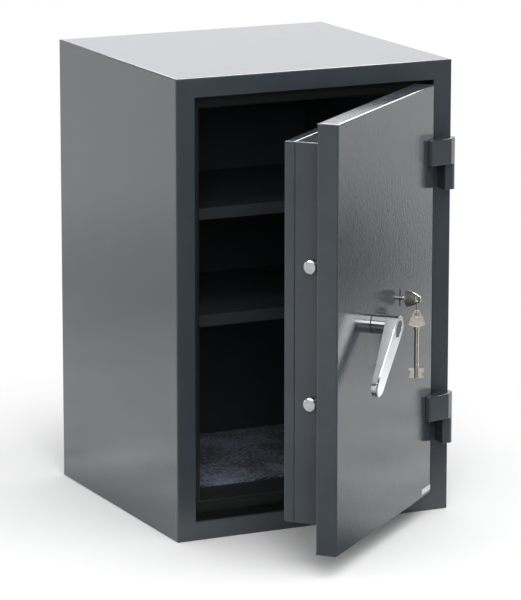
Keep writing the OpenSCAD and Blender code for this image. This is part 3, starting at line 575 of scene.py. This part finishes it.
pocket = bmesh.new()
bmesh.ops.create_cone(
    pocket,
    cap_ends=True,
    segments=64,
    radius1=1,
    radius2=1,
    depth=2 * POCKET_DEPTH,
    matrix=upright(0, LEVER_FRONT, -INSET_DROP) @ Matrix.Diagonal((*INSET_HALF, 1, 1)),
)
dimple = bmesh.new()
bmesh.ops.create_uvsphere(
    dimple,
    u_segments=32,
    v_segments=16,
    radius=DIMPLE_R,
    matrix=Matrix.Translation(DIMPLE_PLACE),
)
bar = cut_away(bar, pocket, dimple)


def on_pocket_rim(edge):
    """Whether an edge lies in the lever's front face and no further out than the oval."""

    def on_rim(point):
        out = (point.x / INSET_HALF[0]) ** 2 + ((point.z + INSET_DROP) / INSET_HALF[1]) ** 2
        return abs(point.y - LEVER_FRONT) < ON_FACE and out < JUST_OUTSIDE

    return all(on_rim(v.co) for v in edge.verts)


round_edges(bar, edges_between(bar, SHARP, on_pocket_rim), POCKET_RIM_R)
print("bar with its pocket and dimple:", len(bar.faces), "faces")

# %% [markdown]
# The neck is the round stub that carries the lever's head in front of the door. Bar and neck are
# one casting, so they become one piece. Only then is it turned to the lever's angle and put on the
# door.

# %% Neck
NECK_R, NECK_DEPTH, NECK_MIDDLE, NECK_RIM_R = 15, 24, -12.3, 0.6


def joined(*shapes):
    """One bmesh that holds several shapes."""
    whole = shapes[0]
    for shape in shapes[1:]:
        mesh = bpy.data.meshes.new("shape")
        shape.to_mesh(mesh)
        shape.free()
        whole.from_mesh(mesh)
        bpy.data.meshes.remove(mesh)
    return whole


neck = bmesh.new()
bmesh.ops.create_cone(
    neck,
    cap_ends=True,
    segments=72,
    radius1=NECK_R,
    radius2=NECK_R,
    depth=NECK_DEPTH,
    matrix=upright(0, NECK_MIDDLE, 0),
)
round_edges(neck, edges_between(neck, SQUARE), NECK_RIM_R)
put_down("polished_lever", joined(bar, neck), "lever_handle", place=on_handle)

# %% [markdown]
# A key for a lever lock has three parts that are joined for good: a flat bow to hold, a round
# shaft, and two flat bits that lift the levers. The bow and the bits are plates, so each is one
# face with its outline, thickened by an extrusion and bevelled. The shaft is turned, so it is half
# a section that is spun.

# %% Helpers for keys
SPIN_STEPS = 40
POLE_MERGE = 1e-5


def plate(outline, thickness, rounding):
    """A flat plate in the YZ plane with its middle at x = 0 and rounded rims."""
    bm = bmesh.new()
    face = bm.faces.new([bm.verts.new((-thickness / 2, y, z)) for y, z in outline])
    grown = bmesh.ops.extrude_face_region(bm, geom=[face])["geom"]
    bmesh.ops.translate(bm, vec=(thickness, 0, 0), verts=verts_in(grown))
    bmesh.ops.recalc_face_normals(bm, faces=bm.faces)

    def in_one_face(edge):
        return abs(edge.verts[0].co.x - edge.verts[1].co.x) < SAME_PLACE

    if rounding:
        round_edges(bm, edges_between(bm, SQUARE, in_one_face), rounding, 2)
    return bm


def turned(section):
    """A solid of revolution round the Z axis, from half of its section as pairs of radius and z."""
    bm = bmesh.new()
    points = [bm.verts.new((radius, 0, z)) for radius, z in section]
    edges = [bm.edges.new(pair) for pair in zip(points, points[1:])]
    bmesh.ops.spin(
        bm,
        geom=points + edges,
        cent=(0, 0, 0),
        axis=(0, 0, 1),
        angle=math.tau,
        steps=SPIN_STEPS,
        use_merge=True,
    )
    bmesh.ops.remove_doubles(bm, verts=bm.verts, dist=POLE_MERGE)
    bmesh.ops.recalc_face_normals(bm, faces=bm.faces)
    return bm


# %% [markdown]
# The bow widens from its narrow end like a bell and closes in again at the shaft. A slot near the
# narrow end takes the ring, and a plain round spot stands a little proud on both sides.

# %% Key bow
KEY_LENGTH = 101
BOW_LENGTH, BOW_HALF, BOW_TIP, BOW_THICKNESS = 25, 12.25, 4.4, 2.6
BOW_RIM_R, FINE_RIM_R = 0.5, 0.25
BOW_STEPS = 16
FLARE, WIDEST = 1.15, 0.86
SLOT = [(-3.1, -2.6), (3.1, -2.6), (4.5, -7.2), (-4.5, -7.2)]
CUT_THROUGH = 4
SPOT_R, SPOT_THICKNESS, SPOT_DROP = 4.4, 3.1, 13.8
SHAFT_R = 3.25


def key_bow():
    """The flat bow with its narrow end at z = 0 and its slot cut out."""
    side = []
    for i in range(BOW_STEPS + 1):
        along = i / BOW_STEPS
        flare = math.sin(along * math.pi / 2) ** FLARE
        side.append((BOW_TIP + (BOW_HALF - BOW_TIP) * flare, -BOW_LENGTH * WIDEST * along))
    tip = [(BOW_TIP * 0.35, 1.15), (BOW_TIP * 0.7, 0.9)]
    foot = [(SHAFT_R + 3, -BOW_LENGTH * 0.95), (SHAFT_R, -BOW_LENGTH)]
    half = [*tip, *side, *foot]
    bow = plate([*half, *[(-y, z) for y, z in reversed(half)]], BOW_THICKNESS, BOW_RIM_R)
    return cut_away(bow, plate(SLOT, CUT_THROUGH, 0))


def key_spot():
    """The plain round spot on both sides of the bow."""
    spot = bmesh.new()
    bmesh.ops.create_cone(
        spot,
        cap_ends=True,
        segments=36,
        radius1=SPOT_R,
        radius2=SPOT_R,
        depth=SPOT_THICKNESS,
        matrix=Matrix.Translation((0, 0, -SPOT_DROP)) @ Matrix.Rotation(math.pi / 2, 4, "Y"),
    )
    round_edges(spot, edges_between(spot, SQUARE), FINE_RIM_R, 2)
    return spot


# %% [markdown]
# The shaft has a collar below the bow and a thin ring above the bits, and its end is chamfered. The
# bits stand out on both sides, and the steps in their edges are what each lever of the lock reads.

# %% Key shaft and bits
BIT_HALF, BIT_LENGTH, BIT_THICKNESS = 11.25, 15, 3
END = -KEY_LENGTH
SHAFT_SECTION = [
    (0, -23.5),
    (SHAFT_R, -23.5),
    (SHAFT_R, -25),
    (SHAFT_R + 0.5, -25.1),
    (SHAFT_R + 0.7, -25.4),
    (SHAFT_R + 0.7, -27.6),
    (SHAFT_R + 0.5, -27.9),
    (SHAFT_R, -28),
    (SHAFT_R, END + 21),
    (SHAFT_R + 0.3, END + 20.8),
    (SHAFT_R + 0.3, END + 19.4),
    (SHAFT_R, END + 19.2),
    (SHAFT_R, END + 0.8),
    (SHAFT_R - 0.5, END + 0.1),
    (SHAFT_R - 0.9, END),
    (0, END),
]
BIT_OUTLINE = [
    (-BIT_HALF, END),
    (-BIT_HALF, END + 4.5),
    (-BIT_HALF + 2, END + 4.5),
    (-BIT_HALF + 2, END + 9.3),
    (-BIT_HALF, END + 9.3),
    (-BIT_HALF, END + BIT_LENGTH),
    (BIT_HALF, END + BIT_LENGTH),
    (BIT_HALF, END + 11.7),
    (BIT_HALF - 2.4, END + 11.7),
    (BIT_HALF - 2.4, END + 6.6),
    (BIT_HALF - 1, END + 6.6),
    (BIT_HALF - 1, END + 3),
    (BIT_HALF, END + 3),
    (BIT_HALF, END),
]


def key():
    """A key that hangs with its bow up, the bow's narrow end at z = 0."""
    bits = plate(BIT_OUTLINE, BIT_THICKNESS, FINE_RIM_R)
    return joined(key_bow(), key_spot(), turned(SHAFT_SECTION), bits)


# %% [markdown]
# One key is in the lock. Its bow looks out of the door with the ring through its slot, and the
# second key hangs from the ring by its own bow.

# %% Keys in their places
RING_Y, RING_TILT, RING_MIDDLE, RING_R = -26.3, math.radians(22), 350.15, 9.25
SPARE_TOP = 344.7

on_ring = (
    on_door
    @ Matrix.Translation((KEY_AXIS[0], RING_Y, 0))
    @ Matrix.Rotation(RING_TILT, 4, "Z")
)
in_keyhole = (
    on_door
    @ Matrix.Translation((KEY_AXIS[0], -KEY_PROUD, KEY_AXIS[1]))
    @ Matrix.Rotation(math.pi / 2, 4, "X")
)
put_down("inserted_key", key(), "lock_key", place=in_keyhole)
put_down("hanging_key", key(), "spare_key", place=on_ring @ Matrix.Translation((0, 0, SPARE_TOP)))

# %% [markdown]
# The ring that holds the keys is a split ring, two turns of flat spring wire that lie against each
# other. It is one flat section that is spun twice round while it moves along by its own width.

# %% Split ring
WIRE_HALF, WIRE_PITCH = (0.82, 0.41), 0.84
TURNS, RING_STEPS = 2, 160

ring = bmesh.new()
bmesh.ops.create_circle(
    ring,
    cap_ends=True,
    segments=12,
    radius=1,
    matrix=upright(RING_R, 0, -WIRE_PITCH / 2) @ Matrix.Diagonal((*WIRE_HALF, 1, 1)),
)
bmesh.ops.spin(
    ring,
    geom=ring.verts[:] + ring.edges[:] + ring.faces[:],
    cent=(0, 0, 0),
    axis=(0, 0, 1),
    dvec=(0, 0, WIRE_PITCH / RING_STEPS),
    angle=math.tau * TURNS,
    steps=RING_STEPS,
)
put_down(
    "split_ring",
    ring,
    "key_ring",
    place=on_ring @ Matrix.Translation((0, 0, RING_MIDDLE)) @ Matrix.Rotation(math.pi / 2, 4, "X"),
)

# %% [markdown]
# The mat on the floor of the safe is needled felt, cut a little small and laid loose. Felt doesn't
# drape: its upper face is gently uneven and its cut edge is soft. A slab is divided finely, its rim
# is rounded, and a slow noise lifts and lowers its upper face by a few tenths of a millimetre.

# %% Felt mat
MAT = ((-171, 96), (171, 383))
MAT_Z = (51.05, 55)
MAT_PLAY = 1
MAT_STEPS = (90, 76)
WAVE_ROOM, WAVE_HEIGHT, WAVE_LENGTH = 0.5, 0.45, 38
MAT_RIM_R = 1.1

mat = bmesh.new()
bmesh.ops.create_grid(
    mat,
    x_segments=MAT_STEPS[0],
    y_segments=MAT_STEPS[1],
    size=0.5,
    matrix=Matrix.Translation((0, (MAT[0][1] + MAT[1][1]) / 2, MAT_Z[0]))
    @ Matrix.Diagonal((MAT[1][0] - MAT[0][0] - MAT_PLAY, MAT[1][1] - MAT[0][1] - MAT_PLAY, 1, 1)),
)
raised = verts_in(bmesh.ops.extrude_face_region(mat, geom=mat.faces[:])["geom"])
bmesh.ops.translate(mat, vec=(0, 0, MAT_Z[1] - MAT_Z[0] - WAVE_ROOM), verts=raised)
bmesh.ops.recalc_face_normals(mat, faces=mat.faces)
for v in raised:
    v.co.z += WAVE_HEIGHT * noise.noise(Vector((v.co.x, v.co.y, 0)) / WAVE_LENGTH)
round_edges(mat, edges_between(mat, SQUARE), MAT_RIM_R)
felt_mat = put_down("felt_mat", mat, "floor_felt", place=in_cabinet)

# %% [markdown]
# Gloss only shows what is around it, so the studio has to be made too. A photographer keeps the
# room dark behind the camera, hangs white paper at the sides and behind the object, and lets the
# ceiling stay dim. Here that room is one number for each direction, used by the far floor and the
# world alike. The camera itself sees plain white paper everywhere.

# %% Brightness of the studio as polished things see it
FRONT_LEVEL, BACK_LEVEL = 0.15, 1.2
FRONT_TO_BACK = (-0.9, 0.35)


def studio(tree, direction):
    """Dim in front, where the camera stands, and bright at the back."""
    along = add(tree, "SeparateXYZ", {}, {0: direction}).outputs["Y"]
    return add(
        tree,
        "MapRange",
        between(FRONT_LEVEL, BACK_LEVEL, *FRONT_TO_BACK),
        {"Value": along},
        interpolation_type="SMOOTHSTEP",
    )


# %% [markdown]
# The stage is a pale floor that runs out to white, because a lamp's light falls off and a floor
# that was only lit would turn grey in the distance. Near the safe the floor is plain paper that
# takes the shadow. Further out it gives a white of its own.

# %% Floor
FLOOR_R = 60

bm = bmesh.new()
bmesh.ops.create_circle(bm, cap_ends=True, segments=64, radius=FLOOR_R)
floor_mesh = bpy.data.meshes.new("floor")
bm.to_mesh(floor_mesh)
bm.free()
floor = bpy.data.objects.new("floor", floor_mesh)
bpy.context.collection.objects.link(floor)
print("floor:", FLOOR_R, "m in radius")

# %% [markdown]
# A real studio isn't even: flags and paper edges leave darker and brighter places in a reflection.
# Soft ovals on the floor stand for them, in gloss only. Each is placed where one part of the safe
# mirrors it, in metres from the middle of the floor, and multiplies the room's brightness by its
# level.

# %% Ovals that single parts mirror
OVALS = (
    # middle, turn, half lengths, level
    ((2.08, 0.235), 0.34, (1.22, 0.3), 0),  # the dark band across the door
    ((3.2, 0.62), 0.34, (1.2, 0.35), 0.7),  # the door's upper left
    ((-1.6, -1.0), 0.335, (1.3, 0.5), 1.5),  # the free edge of the door
    ((-1.05, 1.5), 0.5, (0.75, 1.0), 0.68),  # the left side of the cabinet
    ((-0.45, -1.45), 1.2, (0.7, 0.45), 5),  # the keys
)
OVAL_FADE = (0.15, 1.05)


def fading(tree, place, start, end):
    """0 up to the start distance from the middle of the floor and 1 from the end distance."""
    distance = add(tree, "VectorMath", {}, {0: place}, operation="LENGTH").outputs["Value"]
    return add(
        tree,
        "MapRange",
        between(0, 1, start, end),
        {"Value": distance},
        interpolation_type="SMOOTHSTEP",
    )


def patch(tree, place, middle, turn, reach, level):
    """A factor for the brightness: the level inside a soft oval on the floor and 1 outside it."""
    inside = add(
        tree,
        "Mapping",
        {"Location": (*middle, 0), "Rotation": (0, 0, turn), "Scale": (*reach, 1)},
        {"Vector": place},
        vector_type="TEXTURE",
    )
    distance = add(tree, "VectorMath", {}, {0: inside}, operation="LENGTH").outputs["Value"]
    return add(
        tree,
        "MapRange",
        between(level, 1, *OVAL_FADE),
        {"Value": distance},
        interpolation_type="SMOOTHSTEP",
    )


# %% Studio paper
WHITE = (1, 1, 1, 1)
ROOM_MIDDLE = (0, 0.3, 0)
PAPER_PATCH_MM = 160
WHITE_FROM, GLOSS_FROM = (0.35, 0.95), (0.22, 0.45)

paper, tree, place = new_finish("studio_paper")
path = add(tree, "LightPath").outputs
lit = add(tree, "BsdfDiffuse", {"Color": colour("#f4f4f4")})
white = add(tree, "Emission", {"Color": WHITE, "Strength": 1.0})
from_middle = add(tree, "VectorMath", {1: ROOM_MIDDLE}, {0: place})
outward = add(tree, "VectorMath", {}, {0: from_middle}, operation="NORMALIZE")
patchy = add(tree, "TexNoise", blobs(PAPER_PATCH_MM, 3), {"Vector": place})
patchy = add(tree, "MapRange", between(0.75, 1.25), {"Value": patchy})
room = add(tree, "Math", {}, {0: studio(tree, outward), 1: patchy}, operation="MULTIPLY")
for oval in OVALS:
    factor = patch(tree, place, *oval)
    room = add(tree, "Math", {}, {0: room, 1: factor}, operation="MULTIPLY")
mirrored = add(tree, "Emission", {"Color": WHITE}, {"Strength": room})
far = fading(tree, place, *WHITE_FROM)
to_camera = add(tree, "Math", {}, {0: far, 1: path["Is Camera Ray"]}, operation="MULTIPLY")
far = fading(tree, place, *GLOSS_FROM)
to_gloss = add(tree, "Math", {}, {0: far, 1: path["Is Glossy Ray"]}, operation="MULTIPLY")
seen = add(tree, "MixShader", {}, {0: to_camera, 1: lit, 2: white})
seen = add(tree, "MixShader", {}, {0: to_gloss, 1: seen, 2: mirrored})
add(tree, "OutputMaterial", {}, {"Surface": seen})
floor_mesh.materials.append(paper)
print("studio paper with", len(OVALS), "ovals")

# %% [markdown]
# The room itself is a pale world. Its even light falls on everything, the camera sees it white, and
# gloss sees the studio, with a ceiling that gets dimmer with height.

# %% Room
ROOM_LIGHT = 0.85
LOW_LEVEL, HIGH_LEVEL = 1.25, 0.16
RISE = (0.25, 0.6)
MIRRORED_TINT = (0.96, 0.96, 1, 1)

world = bpy.data.worlds.new("room")
bpy.context.scene.world = world
world.use_nodes = True
tree = world.node_tree
tree.nodes.clear()
path = add(tree, "LightPath").outputs
towards = add(tree, "TexCoord").outputs["Generated"]
up = add(tree, "SeparateXYZ", {}, {0: towards}).outputs["Z"]
ceiling = add(
    tree,
    "MapRange",
    between(LOW_LEVEL, HIGH_LEVEL, *RISE),
    {"Value": up},
    interpolation_type="SMOOTHSTEP",
)
lighting = add(tree, "Background", {"Color": WHITE, "Strength": ROOM_LIGHT})
backdrop = add(tree, "Background", {"Color": WHITE, "Strength": 1.0})
room = add(tree, "Math", {}, {0: studio(tree, towards), 1: ceiling}, operation="MULTIPLY")
mirrored = add(tree, "Background", {"Color": MIRRORED_TINT}, {"Strength": room})
to_camera = add(
    tree,
    "Math",
    {},
    {0: path["Is Camera Ray"], 1: path["Is Transmission Ray"]},
    operation="MAXIMUM",
)
seen = add(tree, "MixShader", {}, {0: to_camera, 1: lighting, 2: backdrop})
seen = add(tree, "MixShader", {}, {0: path["Is Glossy Ray"], 1: seen, 2: mirrored})
add(tree, "OutputWorld", {}, {"Surface": seen})
print("room light:", ROOM_LIGHT)

# %% [markdown]
# The lamps are what a small product studio has: a tall soft one in front that draws a line on round
# chrome, a wide dim one overhead, and two bright ones, at the upper left and behind on the right,
# that only draw the lines on the rounded steel edges. Their places and sizes are in metres.

# %% Lamps


def soft_lamp(name, place, target, size, power):
    """A rectangular lamp that faces the target and isn't seen by the camera."""
    data = bpy.data.lights.new(name, "AREA")
    data.shape = "RECTANGLE"
    data.size, data.size_y = size
    data.energy = power
    lamp = bpy.data.objects.new(name, data)
    bpy.context.collection.objects.link(lamp)
    lamp.location = place
    lamp.rotation_euler = (Vector(target) - Vector(place)).to_track_quat("-Z", "Y").to_euler()
    lamp.visible_camera = False
    print(name, power, "W")
    return lamp


soft_lamp(
    "front_lamp", place=(-1.5, -3.8, 2.3), target=(0, -0.3, 0.34), size=(1.7, 1.9), power=62
)
soft_lamp(
    "overhead_lamp", place=(0.2, -1.5, 3.2), target=(0, -0.3, 0.3), size=(2.6, 2.0), power=42
)
edge_lamp = soft_lamp(
    "edge_lamp", place=(-1.3, 0.1, 3.1), target=(-0.1, -0.4, 0.6), size=(1.7, 1.7), power=90
)
rim_lamp = soft_lamp(
    "rim_lamp", place=(2.1, 2.55, 2.6), target=(0, -0.4, 0.5), size=(3.2, 1.4), power=130
)
edge_lamp.visible_diffuse = False
rim_lamp.visible_diffuse = False

# %% [markdown]
# The last cell keeps colours plain.

# %% Hand over
bpy.context.scene.view_settings.view_transform = "Standard"
